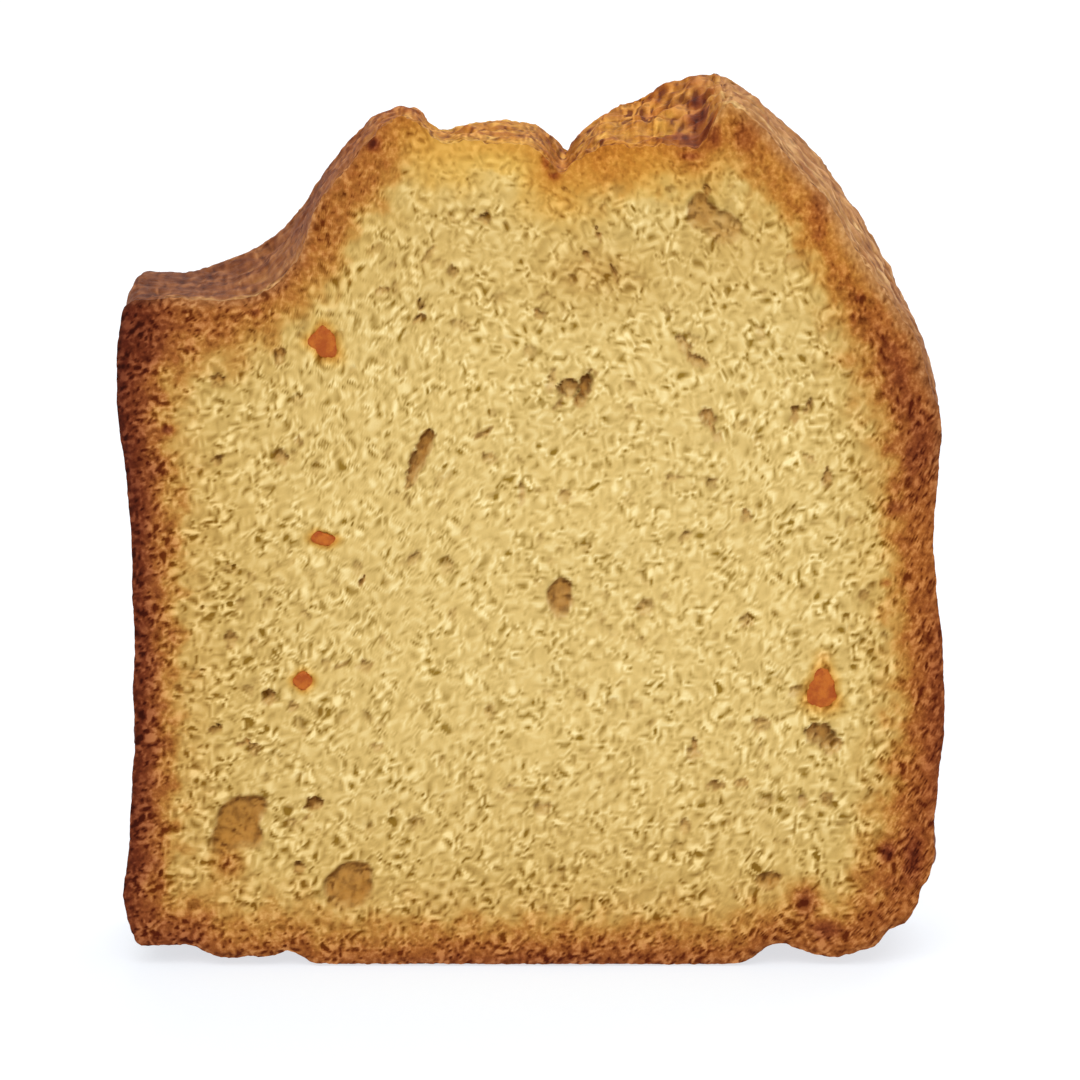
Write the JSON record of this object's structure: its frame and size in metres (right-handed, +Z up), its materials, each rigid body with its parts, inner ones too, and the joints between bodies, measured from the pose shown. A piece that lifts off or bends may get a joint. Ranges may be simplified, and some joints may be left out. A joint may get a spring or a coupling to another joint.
{
  "type": "pound cake slice",
  "caption": "Slice of pound cake cut through a tin loaf, standing on its base, with a browned crust, a split and domed top, and air holes in the cut crumb.",
  "frame": {"origin": "middle of the footprint, on the flat of the base that the slice stands on", "axes": "+Z up from the base to the domed top, -Y out of the shown cut face, +X to the right as that face is seen"},
  "size_m": [0.0912, 0.024, 0.0978],
  "materials": {
    "crumb": "matte",
    "crust": "matte",
    "peel": "satin"
  },
  "bodies": {
    "root": {"cake_slice": "crumb"}
  },
  "joints": []
}
